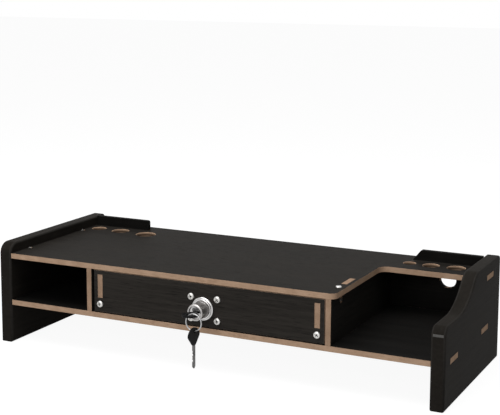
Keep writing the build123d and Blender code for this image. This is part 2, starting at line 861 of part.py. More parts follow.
# The key in the lock lies flat; the spare hangs edge-on below the ring
key_plane = Plane(origin=(lock_x, bow_hole_y, lock_rise), x_dir=(1, 0, 0), z_dir=(0, 0, 1))
spare_normal = Vector(math.cos(math.radians(spare_turn)), math.sin(math.radians(spare_turn)), 0)
spare_plane = Plane(
    origin=(ring_centre.X, bow_hole_y, spare_hole_rise),
    x_dir=Vector(0, 0, -1).cross(spare_normal),
    z_dir=spare_normal,
)
with BuildPart() as key_bow:
    with Locations(key_plane):
        add(bow_form.part)
key_bow.part.label = "key_bow"

with BuildPart() as key_blade:
    with Locations(key_plane):
        add(blade_form.part)
key_blade.part.label = "key_blade"

with BuildPart() as spare_key_bow:
    with Locations(spare_plane):
        add(bow_form.part)
spare_key_bow.part.label = "spare_key_bow"

with BuildPart() as spare_key_blade:
    with Locations(spare_plane):
        add(blade_form.part)
spare_key_blade.part.label = "spare_key_blade"

# Key ring: a flat steel band, through the bow's hole and round its side
with BuildPart() as key_ring:
    with BuildSketch(Plane(origin=ring_centre, x_dir=(1, 0, 0), z_dir=(0, 0, 1))):
        with Locations((ring_radius, 0)):
            RectangleRounded(ring_wire, ring_band, ring_wire_round)
    revolve(axis=Axis(ring_centre, (0, 1, 0)))
key_ring.part.label = "key_ring"

pieces = (
    left_side_panel,
    right_side_panel,
    top_board,
    shelf_board,
    left_divider,
    right_divider,
    left_back_panel,
    middle_back_panel,
    right_back_panel,
    corner_screws,
    divider_screw,
    divider_nut,
    drawer_front,
    drawer_left_side,
    drawer_right_side,
    drawer_back,
    drawer_bottom,
    drawer_front_screws,
    drawer_front_nuts,
    lock_case,
    lock_case_screws,
    lock_case_nuts,
    lock_escutcheon,
    lock_barrel,
    lock_plug,
    lock_crank,
    lock_bolt,
    key_bow,
    key_blade,
    key_ring,
    spare_key_bow,
    spare_key_blade,
)
for piece in pieces:
    export_step(piece.part, f"parts/{piece.part.label}.step")
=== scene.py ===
import math

import bmesh
import bpy
from mathutils import Matrix, Vector


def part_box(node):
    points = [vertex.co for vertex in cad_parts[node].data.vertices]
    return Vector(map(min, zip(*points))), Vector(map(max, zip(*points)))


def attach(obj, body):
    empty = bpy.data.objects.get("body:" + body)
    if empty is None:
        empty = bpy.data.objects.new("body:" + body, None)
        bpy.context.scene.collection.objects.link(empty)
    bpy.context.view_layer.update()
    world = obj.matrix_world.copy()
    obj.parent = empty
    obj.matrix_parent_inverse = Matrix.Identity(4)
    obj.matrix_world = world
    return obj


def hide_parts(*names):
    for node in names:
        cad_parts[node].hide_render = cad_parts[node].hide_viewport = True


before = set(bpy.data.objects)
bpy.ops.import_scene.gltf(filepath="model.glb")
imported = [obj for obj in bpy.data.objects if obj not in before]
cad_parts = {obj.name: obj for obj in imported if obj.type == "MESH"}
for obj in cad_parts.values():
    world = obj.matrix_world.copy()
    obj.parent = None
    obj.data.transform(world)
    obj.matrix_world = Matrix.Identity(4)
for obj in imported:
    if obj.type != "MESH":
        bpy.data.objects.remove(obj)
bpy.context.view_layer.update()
mm = 0.001

# How the faces and edges of a solid's mesh are told apart
weld = 0.002 * mm
flat_angle = math.radians(0.3)
crease_angle = math.radians(32)
flat_share = 0.99
square_share = 0.95
front_share = 0.9
wall_share = 0.1
face_reach = 0.05 * mm
fewest_round_faces = 16

# A board's finishes, by number; the last is a lighter paint, a painted highlight
skin_number, edge_number, extra_number, highlight_number = range(4)

# Sizes that the frame doesn't hold
side_arris = 2.2 * mm
side_arris_segments = 4
board_arris = 0.28 * mm
slot_arris = 0.2 * mm
bore_chamfer = 0.45 * mm
bow_arris = 0.45 * mm
blade_arris = 0.12 * mm
spare_hole_share = 0.5
# Leans of the front corner facets that are painted lighter as a highlight
highlight_lean = (0.03, 0.26)
# Depths below the top between which bored walls carry painted shade
bore_shade_depths = (1.1 * mm, 4.2 * mm)
screw_head_radius = 3.9 * mm
screw_head_height = 2.6 * mm
screw_shank_radius = 1.95 * mm
board_screw_length = 16 * mm
lock_screw_length = 12 * mm
divider_head_radius = 3.1 * mm
divider_head_height = 1.7 * mm
corner_head_radius = 2.5 * mm
corner_head_height = 1.4 * mm
corner_shank_radius = 1.4 * mm
corner_screw_length = 13 * mm
corner_screw_sink = 1.6 * mm
corner_screw_in = 2.5 * mm
top_left_tenons = (35 * mm, 147 * mm)
top_right_tenons = (161 * mm,)
shelf_tenons = (30.5 * mm, 144 * mm)
painted_clear = 1 * mm
plug_gap = 0.05 * mm
barrel_gap = 0.3 * mm
floor_half_width = 8.0
floor_drop = 0.2 * mm


class Flow:
    """A value that comes out of a node. Arithmetic on it adds Math nodes."""

    def __init__(self, graph, socket):
        self.graph = graph
        self.socket = socket

    def out(self, name):
        """Another output of the same node."""
        return Flow(self.graph, self.socket.node.outputs[name])

    def math(self, operation, *values):
        return self.graph.node("ShaderNodeMath", {"operation": operation}, dict(enumerate(values)))

    def __add__(self, other):
        return self.math("ADD", self, other)

    def __sub__(self, other):
        return self.math("SUBTRACT", self, other)

    def __rsub__(self, other):
        return self.math("SUBTRACT", other, self)

    def __mul__(self, other):
        return self.math("MULTIPLY", self, other)

    def __truediv__(self, other):
        return self.math("DIVIDE", self, other)

    def __pow__(self, other):
        return self.math("POWER", self, other)


class Graph:
    """A node tree that is built one node at a time."""

    def __init__(self, tree):
        self.tree = tree

    def node(self, kind, settings=None, values=None, output=0):
        made = self.tree.nodes.new(kind)
        for name, setting in (settings or {}).items():
            setattr(made, name, setting)
        for name, value in (values or {}).items():
            for each in value if isinstance(value, list) else [value]:
                if isinstance(each, Flow):
                    self.tree.links.new(each.socket, made.inputs[name])
                else:
                    made.inputs[name].default_value = each
        return Flow(self, made.outputs[output]) if made.outputs else None

    def object_place(self, squeeze=(1, 1, 1)):
        """Object coordinates in metres, each axis multiplied by its squeeze."""
        place = self.node("ShaderNodeTexCoord", output="Object")
        return self.node("ShaderNodeMapping", values={"Vector": place, "Scale": squeeze})

    def noise(self, place, scale, detail=3.0, roughness=0.55):
        sizes = {"Vector": place, "Scale": scale, "Detail": detail, "Roughness": roughness}
        return self.node("ShaderNodeTexNoise", values=sizes, output="Fac")

    def spread(self, value, low, high, to_low=0.0, to_high=1.0):
        """value carried from low..high to to_low..to_high, and held there beyond them."""
        ranges = {0: value, 1: low, 2: high, 3: to_low, 4: to_high}
        return self.node("ShaderNodeMapRange", values=ranges)

    def mix(self, share, first, second):
        """Two colours mixed by share."""
        return self.node("ShaderNodeMix", {"data_type": "RGBA"}, {0: share, 6: first, 7: second}, 2)

    def bump(self, height, distance, strength=1.0):
        sizes = {"Height": height, "Distance": distance, "Strength": strength}
        return self.node("ShaderNodeBump", values=sizes)


def new_finish(name):
    """An empty material and its graph."""
    finish = bpy.data.materials.new(name)
    finish.use_nodes = True
    finish.node_tree.nodes.clear()
    return finish, Graph(finish.node_tree)


def surface(graph, **values):
    """Ends a material in one Principled shader."""
    named = {}
    for name, value in values.items():
        named[name.replace("_", " ").title().replace("Ior", "IOR")] = value
    shader = graph.node("ShaderNodeBsdfPrincipled", values=named)
    graph.node("ShaderNodeOutputMaterial", values={"Surface": shader})


def squeeze_along(axis, stretch):
    """The scale that draws noise out along one axis."""
    return tuple(1 / stretch if letter == axis else 1.0 for letter in "XYZ")


# Finishes
def black_laminate(name, grain, dark, light):
    """Black foil with a printed wood grain along one axis, pressed on board."""
    finish, graph = new_finish(name)
    bands = graph.noise(graph.object_place(squeeze_along(grain, 16)), 90.0, 3.0)
    fibres = graph.noise(graph.object_place(squeeze_along(grain, 28)), 460.0, 3.0, 0.6)
    ticks = graph.noise(graph.object_place(squeeze_along(grain, 22)), 1500.0, 1.0)
    pores = graph.spread(ticks, 0.60, 0.70)
    tone = graph.spread(bands * 0.5 + fibres * 0.5, 0.36, 0.64)
    colour = graph.mix(tone, dark, light)
    colour = graph.mix(pores * 0.55, colour, (0.006, 0.006, 0.006, 1))
    relief = graph.bump(fibres * 0.5 - pores, 0.06 * mm, 0.6)
    roughness = tone * 0.08 + pores * 0.12 + 0.47
    surface(graph, base_color=colour, roughness=roughness, specular_ior_level=0.01, normal=relief)
    return finish


def raw_edge(name, grain, pale, deep, shaded_between=None):
    """The board's cut edge: tan fibreboard with faint fibres, slightly scorched in places.

    The last argument is (height, lower height) between which the wall of a bored hole is browner:
    painted shade inside the hole.
    """
    finish, graph = new_finish(name)
    fibres = graph.noise(graph.object_place(squeeze_along(grain, 9)), 1300.0, 4.0, 0.65)
    mottle = graph.noise(graph.object_place(), 60.0, 3.0)
    scorch = graph.noise(graph.object_place(squeeze_along(grain, 2)), 240.0, 2.0)
    colour = graph.mix(graph.spread(mottle, 0.36, 0.66), pale, deep)
    colour = graph.mix(graph.spread(fibres, 0.5, 0.72) * 0.4, colour, (0.17, 0.095, 0.055, 1))
    colour = graph.mix(graph.spread(scorch, 0.58, 0.74) * 0.35, colour, (0.22, 0.12, 0.07, 1))
    # Painted shade: below the upper height the wall turns dark brown, with a wavy border, and
    # somewhat less dark at the lower height
    if shaded_between:
        place = graph.object_place()
        rise = graph.node("ShaderNodeSeparateXYZ", values={"Vector": place}, output="Z")
        wavy = rise + (mottle - 0.5) * (0.8 * mm)
        upper, lower = shaded_between
        core = graph.spread(wavy, upper - 1.3 * mm, upper, 1.0, 0.0)
        foot = graph.spread(wavy, lower, lower + 0.8 * mm, 0.35, 1.0)
        colour = graph.mix(core * foot * 0.85, colour, (0.05, 0.031, 0.02, 1))
    relief = graph.bump(fibres, 0.09 * mm, 0.7)
    surface(
        graph,
        base_color=colour,
        roughness=fibres * 0.16 + 0.72,
        specular_ior_level=0.05,
        normal=relief,
    )
    return finish


def black_paint(name, grain, dark, light):
    """Satin black lacquer that lets a little of the wood's grain through."""
    finish, graph = new_finish(name)
    fibres = graph.noise(graph.object_place(squeeze_along(grain, 20)), 320.0, 3.0)
    clouds = graph.noise(graph.object_place(), 26.0, 3.0)
    peel = graph.noise(graph.object_place(), 1500.0, 2.0)
    tone = graph.spread(fibres * 0.4 + clouds * 0.6, 0.36, 0.64)
    relief = graph.bump(peel * 0.6 + fibres * 0.4, 0.05 * mm, 0.5)
    surface(
        graph,
        base_color=graph.mix(tone, dark, light),
        roughness=clouds * 0.12 + 0.42,
        specular_ior_level=0.006,
        normal=relief,
    )
    return finish


def bright_metal(name, colour, shade, smooth, rough, brush):
    """Plated or polished metal with faint scratches; brush squeezes them along an axis."""
    finish, graph = new_finish(name)
    scratches = graph.noise(graph.object_place(brush), 2600.0, 3.0, 0.7)
    clouds = graph.noise(graph.object_place(), 140.0, 2.0)
    wear = graph.spread(scratches * 0.5 + clouds * 0.5, 0.4, 0.62)
    surface(
        graph,
        base_color=graph.mix(wear, colour, shade),
        metallic=1.0,
        roughness=graph.spread(wear, 0.0, 1.0, smooth, rough),
        normal=graph.bump(scratches, 0.012 * mm, 0.4),
    )
    return finish


def moulded_plastic(name):
    """Black moulding with a fine spark-eroded texture."""
    finish, graph = new_finish(name)
    grit = graph.noise(graph.object_place(), 3200.0, 2.0)
    clouds = graph.noise(graph.object_place(), 210.0, 2.0)
    colour = graph.mix(clouds, (0.0045, 0.0045, 0.0048, 1), (0.0085, 0.0085, 0.009, 1))
    relief = graph.bump(grit, 0.03 * mm, 0.5)
    surface(
        graph,
        base_color=colour,
        roughness=clouds * 0.14 + 0.34,
        specular_ior_level=0.06,
        normal=relief,
    )
    return finish


laminate_top = black_laminate(
    "top laminate", "X", (0.0124, 0.0110, 0.0097, 1), (0.0230, 0.0207, 0.0182, 1)
)
laminate_x = black_laminate(
    "laminate grained along X", "X", (0.0225, 0.0202, 0.0180, 1), (0.0365, 0.0326, 0.0288, 1)
)
# Painted shade: a darker copy of the same foil for the shelf, for the shade inside the bays
shaded_shelf_laminate = black_laminate(
    "shelf laminate, painted shade", "X", (0.0048, 0.0046, 0.0043, 1), (0.0098, 0.0093, 0.0086, 1)
)
laminate_y = black_laminate(
    "laminate grained along Y", "Y", (0.0115, 0.0105, 0.0095, 1), (0.021, 0.0192, 0.0172, 1)
)
edge_x = raw_edge("cut edge along X", "X", (0.48, 0.325, 0.222, 1), (0.41, 0.272, 0.183, 1))
edge_y = raw_edge("cut edge along Y", "Y", (0.40, 0.268, 0.184, 1), (0.31, 0.204, 0.136, 1))
side_paint = black_paint(
    "side panel lacquer", "Y", (0.0138, 0.0121, 0.0104, 1), (0.0212, 0.0187, 0.0161, 1)
)
gallery_paint = black_paint(
    "gallery lacquer", "X", (0.006, 0.0056, 0.0052, 1), (0.010, 0.0094, 0.0086, 1)
)
# Painted highlight: the side panels' rounded arrises are painted lighter than the panels
arris_highlight_paint = black_paint(
    "side panel arris, painted highlight", "Y", (0.020, 0.0184, 0.0166, 1), (0.031, 0.0285, 0.0258, 1)
)
# Painted highlight: a lighter paint for the right panel's front corner, where a lamp would glint
corner_highlight_paint = black_paint(
    "side corner, painted highlight", "Y", (0.085, 0.083, 0.080, 1), (0.115, 0.112, 0.108, 1)
)
even, turned_finely, drawn = (1, 1, 1), (1, 0.1, 1), (1, 0.06, 1)
zinc = bright_metal("bright zinc", (0.66, 0.65, 0.63, 1), (0.50, 0.49, 0.47, 1), 0.24, 0.38, even)
dull_zinc = bright_metal(
    "dull zinc", (0.42, 0.41, 0.395, 1), (0.27, 0.265, 0.255, 1), 0.40, 0.56, even
)
satin_chrome = bright_metal(
    "satin chrome", (0.50, 0.485, 0.475, 1), (0.36, 0.347, 0.338, 1), 0.34, 0.46, turned_finely
)
chrome = bright_metal(
    "polished chrome", (0.60, 0.59, 0.585, 1), (0.50, 0.49, 0.485, 1), 0.12, 0.22, turned_finely
)
steel = bright_metal(
    "drawn steel", (0.50, 0.50, 0.50, 1), (0.38, 0.38, 0.385, 1), 0.22, 0.38, drawn
)
key_steel = bright_metal(
    "used key steel", (0.15, 0.148, 0.145, 1), (0.05, 0.049, 0.048, 1), 0.30, 0.48, drawn
)
plastic = moulded_plastic("key bow moulding")


# Making meshes
def new_piece(name, mesh, body):
    """An object at the origin that rides on a body and takes its finish from a slot."""
    piece = bpy.data.objects.new(name, mesh)
    bpy.context.scene.collection.objects.link(piece)
    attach(piece, body)
    return piece


def mesh_from(made, name):
    """A plain mesh from a bmesh, smooth but for its creases."""
    mesh = bpy.data.meshes.new(name)
    for face in made.faces:
        face.smooth = True
    made.to_mesh(mesh)
    made.free()
    if "custom_normal" in mesh.attributes:
        mesh.attributes.remove(mesh.attributes["custom_normal"])
    return mesh


def whole_copy(node):
    """A CAD node's shape with its triangles joined into whole flat faces."""
    made = bmesh.new()
    made.from_mesh(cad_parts[node].data)
    bmesh.ops.remove_doubles(made, verts=made.verts, dist=weld)
    bmesh.ops.dissolve_limit(made, angle_limit=flat_angle, verts=made.verts, edges=made.edges)
    made.normal_update()
    return made


def round_arrises(piece, width, segments=2, finish_number=-1):
    """Bevels the weighted edges of a piece; -1 gives the new faces the finish beside them."""
    bevel = piece.modifiers.new("arrises", "BEVEL")
    bevel.limit_method = "WEIGHT"
    bevel.width = width
    bevel.segments = segments
    bevel.use_clamp_overlap = False
    bevel.loop_slide = False
    bevel.harden_normals = True
    bevel.material = finish_number


def outline_of(cut_faces, start):
    """The cut faces joined to start across shared edges: one board outline, without its slots."""
    found = {start}
    waiting = [start]
    while waiting:
        face = waiting.pop()
        for edge in face.edges:
            for other in edge.link_faces:
                if other in cut_faces and other not in found:
                    found.add(other)
                    waiting.append(other)
    return found


def bored_walls(made, cut_faces, outline):
    """The walls of round holes, one list of faces for each hole, in the mesh's own order."""
    walls = []
    left = [face for face in made.faces if face in cut_faces and face not in outline]
    while left:
        found = outline_of(cut_faces, left[0])
        wall = [face for face in left if face in found]
        left = [face for face in left if face not in found]
        if len(wall) >= fewest_round_faces and all(len(face.edges) == 4 for face in wall):
            walls.append(wall)
    return walls


def dress_board(
    node, body, through, skin, edge, arris, painted_above=None, bored=None, rounding=None, highlight_finish=None
):
    """A board in its finishes: skin on its two faces, the edge finish on what is cut.

    Cut faces that reach above painted_above, and the slanted pockets of the corner screws, get the
    skin too. bored is the finish of the round holes' walls, rounding that of the arrises (on the
    side panels a lighter paint, a painted highlight), and the last argument that of the strip on a
    front corner that is painted lighter as a highlight.
    """
    made = whole_copy(node)
    axis = "XYZ".index(through)
    low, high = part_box(node)
    faces_at = (low[axis], high[axis])

    def is_skin(face):
        centre = face.calc_center_median()[axis]
        away = min(abs(centre - at) for at in faces_at)
        return abs(face.normal[axis]) > flat_share and away < face_reach

    skins = {face for face in made.faces if is_skin(face)}
    cut_faces = {face for face in made.faces if face not in skins}
    across = (axis + 1) % 3
    in_order = [face for face in made.faces if face in cut_faces]
    first = min(in_order, key=lambda face: face.calc_center_median()[across])
    outline = outline_of(cut_faces, first)
    weights = made.edges.layers.float.new("bevel_weight_edge")
    for face in cut_faces:
        highest = max(point.co.z for point in face.verts)
        painted = painted_above is not None and highest > painted_above + painted_clear
        slanted = face not in outline and max(abs(part) for part in face.normal) < square_share
        face.material_index = skin_number if painted or slanted else edge_number
    for face in skins:
        face.material_index = skin_number
    for one in made.edges:
        if len(one.link_faces) != 2:
            continue
        cut = [face for face in one.link_faces if face in cut_faces]
        if len(cut) == 1 and one.calc_face_angle_signed() > crease_angle:
            one[weights] = 1.0 if cut[0] in outline else slot_arris / max(arris, slot_arris)
        elif one.calc_face_angle() > crease_angle:
            one.smooth = False
    # Painted highlight: front corner facets that lean a little upward take a lighter paint
    if highlight_finish:
        for face in outline:
            lean = face.normal.z
            if face.normal.y < -front_share and highlight_lean[0] < lean < highlight_lean[1]:
                face.material_index = highlight_number
    if bored:
        rims = []
        for wall in bored_walls(made, cut_faces, outline):
            for face in wall:
                face.material_index = extra_number
                for one in face.edges:
                    if any(other in skins for other in one.link_faces):
                        rims.append(one)
        for one in rims:
            one[weights] = 0.0
        chamfered = bmesh.ops.bevel(
            made,
            geom=rims,
            offset=bore_chamfer,
            segments=2,
            profile=0.5,
            affect="EDGES",
            material=edge_number,
        )
        made.normal_update()
        for face in chamfered["faces"]:
            for one in face.edges:
                if any(abs(other.normal[axis]) > flat_share for other in one.link_faces):
                    one.smooth = False
    mesh = mesh_from(made, node + "_dressed")
    for finish in (skin, edge, bored or rounding or edge, highlight_finish or edge):
        mesh.materials.append(finish)
    piece = new_piece(node + "_dressed", mesh, body)
    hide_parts(node)
    if rounding:
        round_arrises(piece, arris, side_arris_segments, extra_number)
    else:
        round_arrises(piece, arris)


def narrow_hole(made, share):
    """Draws the round hole through a flat piece down to a share of its size, its top kept."""
    flat = max(made.faces, key=lambda face: face.calc_area()).normal.copy()
    walls = {face for face in made.faces if abs(face.normal.dot(flat)) < wall_share}
    left = [face for face in made.faces if face in walls]
    while left:
        wall = outline_of(walls, left[0])
        left = [face for face in left if face not in wall]
        points = [point for point in made.verts if any(face in wall for face in point.link_faces)]
        centre = sum((point.co for point in points), Vector()) / len(points)
        spokes = [point.co - centre for point in points]
        spokes = [spoke - flat * spoke.dot(flat) for spoke in spokes]
        reach = [spoke.length for spoke in spokes]
        if len(wall) < fewest_round_faces or max(reach) - min(reach) > face_reach:
            continue
        lift = Vector((0, 0, max(reach) * (1 - share)))
        for point, spoke in zip(points, spokes):
            point.co += spoke * (share - 1) + lift


def rounded_copy(node, name, body, finish, width, segments=2, hole_share=None):
    """A CAD node's shape with every hard edge rounded."""
    made = whole_copy(node)
    if hole_share:
        narrow_hole(made, hole_share)
    weights = made.edges.layers.float.new("bevel_weight_edge")
    for one in made.edges:
        if len(one.link_faces) == 2 and one.calc_face_angle_signed() > crease_angle:
            one[weights] = 1.0
        elif len(one.link_faces) == 2 and one.calc_face_angle() > crease_angle:
            one.smooth = False
    mesh = mesh_from(made, name)
    mesh.materials.append(finish)
    piece = new_piece(name, mesh, body)
    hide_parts(node)
    round_arrises(piece, width, segments)


def turned(name, profile, centre, body, finish, steps=96):
    """A ring turned about an axis along Y, its closed profile as (radius, distance in front)."""
    made = bmesh.new()
    rings = []
    for step in range(steps):
        angle = 2 * math.pi * step / steps
        ring = [
            made.verts.new(
                centre + Vector((radius * math.cos(angle), -ahead, radius * math.sin(angle)))
            )
            for radius, ahead in profile
        ]
        rings.append(ring)
    for step in range(steps):
        here, there = rings[step], rings[(step + 1) % steps]
        for number in range(len(profile)):
            after = (number + 1) % len(profile)
            made.faces.new((here[number], here[after], there[after], there[number]))
    bmesh.ops.recalc_face_normals(made, faces=made.faces)
    for one in made.edges:
        one.smooth = one.calc_face_angle() < crease_angle
    mesh = mesh_from(made, name)
    mesh.materials.append(finish)
    return new_piece(name, mesh, body)


def quarter(centre, radius, start, stop, steps=6):
    """Points on an arc of a turned profile, its angles in degrees from +radius towards ahead."""
    points = []
    for step in range(steps + 1):
        angle = math.radians(start + (stop - start) * step / steps)
        points.append((centre[0] + radius * math.cos(angle), centre[1] + radius * math.sin(angle)))
    return points


# Boards
shelf_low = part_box("shelf_board")[0]
top_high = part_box("top_board")[1]
side_low, side_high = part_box("left_side_panel")
# The side panels' arrises take a lighter paint and the right panel's front corner a lighter strip:
# both are painted highlights
for node, highlight_finish in (("left_side_panel", None), ("right_side_panel", corner_highlight_paint)):
    dress_board(
        node, "case", "X", side_paint, side_paint, side_arris, rounding=arris_highlight_paint, highlight_finish=highlight_finish
    )
# The bored walls: the cut edge in darker colours, painted shade, with a darker band below the rim
bored_edge = raw_edge(
    "bored wall",
    "X",
    (0.36, 0.25, 0.172, 1),
    (0.27, 0.183, 0.125, 1),
    [top_high.z - depth for depth in bore_shade_depths],
)
dress_board("top_board", "case", "Z", laminate_top, edge_x, board_arris, bored=bored_edge)
# The shelf takes the darker laminate: painted shade
dress_board("shelf_board", "case", "Z", shaded_shelf_laminate, edge_x, board_arris)
for node in ("left_divider", "right_divider"):
    dress_board(node, "case", "X", laminate_y, edge_y, board_arris)
for node in ("left_back_panel", "middle_back_panel", "right_back_panel"):
    dress_board(node, "case", "Y", gallery_paint, edge_x, board_arris, painted_above=top_high.z)
for node in ("drawer_front", "drawer_back"):
    dress_board(node, "drawer", "Y", laminate_x, edge_x, board_arris)
for node in ("drawer_left_side", "drawer_right_side"):
    dress_board(node, "drawer", "X", laminate_y, edge_y, board_arris)
dress_board("drawer_bottom", "drawer", "Z", laminate_x, edge_x, board_arris)


# Screws
def pan_head_tree():
    """Nodes that set a screw with a domed head and a crossed recess on each point of a mesh."""
    tree = bpy.data.node_groups.new("pan_head_screws", "GeometryNodeTree")
    tree.interface.new_socket("Seats", in_out="INPUT", socket_type="NodeSocketGeometry")
    for name in (
        "Head Radius",
        "Head Height",
        "Head Edge",
        "Shank Radius",
        "Shank Length",
        "Thread Depth",
        "Thread Pitch",
        "Recess Width",
        "Recess Span",
        "Recess Depth",
    ):
        tree.interface.new_socket(name, in_out="INPUT", socket_type="NodeSocketFloat")
    tree.interface.new_socket("Finish", in_out="INPUT", socket_type="NodeSocketMaterial")
    tree.interface.new_socket("Screws", in_out="OUTPUT", socket_type="NodeSocketGeometry")
    graph = Graph(tree)
    given = graph.node("NodeGroupInput")
    position = graph.node("GeometryNodeInputPosition")
    place = graph.node("ShaderNodeSeparateXYZ", values={"Vector": position})
    x, y, z = place.out("X"), place.out("Y"), place.out("Z")
    head_radius, head_edge = given.out("Head Radius"), given.out("Head Edge")
    head_height, shank_length = given.out("Head Height"), given.out("Shank Length")

    disc = graph.node(
        "GeometryNodeMeshCylinder",
        {"fill_type": "TRIANGLE_FAN"},
        {"Vertices": 48, "Fill Segments": 10, "Radius": head_radius, "Depth": head_edge},
    )
    reach = (x * x + y * y) / (head_radius * head_radius)
    fall = 1.0 - reach * reach
    dome = fall.math("MAXIMUM", fall, 0.0) ** 0.5
    lift = z.math("GREATER_THAN", z, 0.0) * dome * (head_height - head_edge) + head_edge * 0.5
    head = graph.node(
        "GeometryNodeSetPosition",
        values={"Geometry": disc, "Offset": graph.node("ShaderNodeCombineXYZ", values={"Z": lift})},
    )
    span, width = given.out("Recess Span"), given.out("Recess Width")
    for long_x, long_y in ((span, width), (width, span)):
        deep = given.out("Recess Depth") * 2.0
        size = graph.node("ShaderNodeCombineXYZ", values={"X": long_x, "Y": long_y, "Z": deep})
        bar = graph.node(
            "GeometryNodeTransform",
            values={
                "Geometry": graph.node("GeometryNodeMeshCube", values={"Size": size}),
                "Translation": graph.node("ShaderNodeCombineXYZ", values={"Z": head_height}),
            },
        )
        head = graph.node(
            "GeometryNodeMeshBoolean", {"operation": "DIFFERENCE"}, {"Mesh 1": head, "Mesh 2": bar}
        )

    rod = graph.node(
        "GeometryNodeMeshCylinder",
        values={
            "Vertices": 20,
            "Side Segments": 72,
            "Radius": given.out("Shank Radius"),
            "Depth": shank_length,
        },
    )
    turns = z / given.out("Thread Pitch") + x.math("ARCTAN2", y, x) / (2 * math.pi)
    groove = turns.math("PINGPONG", turns, 0.5) * 2.0
    narrowing = 1.0 - groove * (given.out("Thread Depth") / given.out("Shank Radius"))
    threaded = graph.node(
        "GeometryNodeSetPosition",
        values={
            "Geometry": rod,
            "Position": graph.node(
                "ShaderNodeCombineXYZ", values={"X": x * narrowing, "Y": y * narrowing, "Z": z}
            ),
        },
    )
    shank = graph.node(
        "GeometryNodeTransform",
        values={
            "Geometry": threaded,
            "Translation": graph.node("ShaderNodeCombineXYZ", values={"Z": shank_length * -0.5}),
        },
    )
    screw = graph.node("GeometryNodeJoinGeometry", values={"Geometry": [head, shank]})
    outwards = graph.node(
        "GeometryNodeInputNamedAttribute",
        {"data_type": "FLOAT_VECTOR"},
        {"Name": "outwards"},
        "Attribute",
    )
    turn = graph.node(
        "GeometryNodeInputNamedAttribute", {"data_type": "FLOAT"}, {"Name": "turn"}, "Attribute"
    )
    facing = graph.node("FunctionNodeAlignRotationToVector", {"axis": "Z"}, {"Vector": outwards})
    rotation = graph.node(
        "FunctionNodeRotateRotation",
        {"rotation_space": "LOCAL"},
        {
            "Rotation": facing,
            "Rotate By": graph.node("FunctionNodeAxisAngleToRotation", values={"Angle": turn}),
        },
    )
    placed = graph.node(
        "GeometryNodeInstanceOnPoints",
        values={"Points": given.out("Seats"), "Instance": screw, "Rotation": rotation},
    )
    whole = graph.node("GeometryNodeRealizeInstances", values={"Geometry": placed})
    finished = graph.node(
        "GeometryNodeSetMaterial", values={"Geometry": whole, "Material": given.out("Finish")}
    )
    graph.node("NodeGroupOutput", values={"Screws": finished})
    return tree


screw_nodes = pan_head_tree()


def screws(name, seats, body, nodes, sizes, finish=zinc):
    """Screws in place of CAD nodes, a plain mesh; a seat is (place, outward direction, turn)."""
    points = bpy.data.meshes.new(name + "_seats")
    points.from_pydata([seat[0] for seat in seats], [], [])
    points.attributes.new("outwards", "FLOAT_VECTOR", "POINT")
    points.attributes.new("turn", "FLOAT", "POINT")
    for number, seat in enumerate(seats):
        points.attributes["outwards"].data[number].vector = seat[1]
        points.attributes["turn"].data[number].value = seat[2]
    holder = bpy.data.objects.new(name + "_seats", points)
    bpy.context.scene.collection.objects.link(holder)
    modifier = holder.modifiers.new("screws", "NODES")
    modifier.node_group = screw_nodes
    for item in screw_nodes.interface.items_tree:
        if item.in_out == "INPUT" and item.name in sizes:
            modifier[item.identifier] = sizes[item.name]
        if item.in_out == "INPUT" and item.name == "Finish":
            modifier[item.identifier] = finish
    seen = holder.evaluated_get(bpy.context.evaluated_depsgraph_get())
    mesh = bpy.data.meshes.new_from_object(seen)
    mesh.name = name
    bpy.data.objects.remove(holder)
    mesh.shade_smooth()
    mesh.set_sharp_from_angle(angle=crease_angle)
    piece = new_piece(name, mesh, body)
    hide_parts(*nodes)


machine_screw = {
    "Head Radius": screw_head_radius,
    "Head Height": screw_head_height,
    "Head Edge": 0.9 * mm,
    "Shank Radius": screw_shank_radius,
    "Thread Depth": 0.3 * mm,
    "Thread Pitch": 0.7 * mm,
    "Recess Width": 1.3 * mm,
    "Recess Span": 4.4 * mm,
    "Recess Depth": 1.7 * mm,
}
wood_screw = {
    "Head Radius": corner_head_radius,
    "Head Height": corner_head_height,
    "Head Edge": 0.6 * mm,
    "Shank Radius": corner_shank_radius,
    "Shank Length": corner_screw_length,
    "Thread Depth": 0.3 * mm,
    "Thread Pitch": 1.1 * mm,
    "Recess Width": 0.7 * mm,
    "Recess Span": 3.0 * mm,
    "Recess Depth": 0.7 * mm,
}
forward = (0, -1, 0)
face_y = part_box("drawer_front")[0].y

low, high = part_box("drawer_front_screws")
rise = (low.z + high.z) / 2
drawer_seats = [
    ((low.x + screw_head_radius, face_y, rise), forward, 0.5),
    ((high.x - screw_head_radius, face_y, rise), forward, 1.1),
]
screws(
    "drawer_front_pan_heads",
    drawer_seats,
    "drawer",
    ["drawer_front_screws"],
    machine_screw | {"Shank Length": board_screw_length},
)

low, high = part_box("lock_case_screws")
lock_seats = [
    ((x, face_y, z), forward, turn)
    for x, z, turn in (
        (low.x + screw_head_radius, high.z - screw_head_radius, 0.3),
        (high.x - screw_head_radius, high.z - screw_head_radius, 0.9),
        (high.x - screw_head_radius, low.z + screw_head_radius, 0.1),
        (low.x + screw_head_radius, low.z + screw_head_radius, 1.3),
    )
]
screws(
    "lock_case_pan_heads",
    lock_seats,
    "drawer",
    ["lock_case_screws"],
    machine_screw | {"Shank Length": lock_screw_length},
)

low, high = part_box("divider_screw")
screws(
    "divider_pan_head",
    [(((low.x + high.x) / 2, (low.y + high.y) / 2, top_high.z), (0, 0, 1), 0.4)],
    "case",
    ["divider_screw"],
    machine_screw
    | {
        "Head Radius": divider_head_radius,
        "Head Height": divider_head_height,
        "Head Edge": 0.5 * mm,
        "Recess Width": 0.8 * mm,
        "Recess Span": 3.4 * mm,
        "Recess Depth": 1.0 * mm,
        "Shank Length": board_screw_length,
    },
)


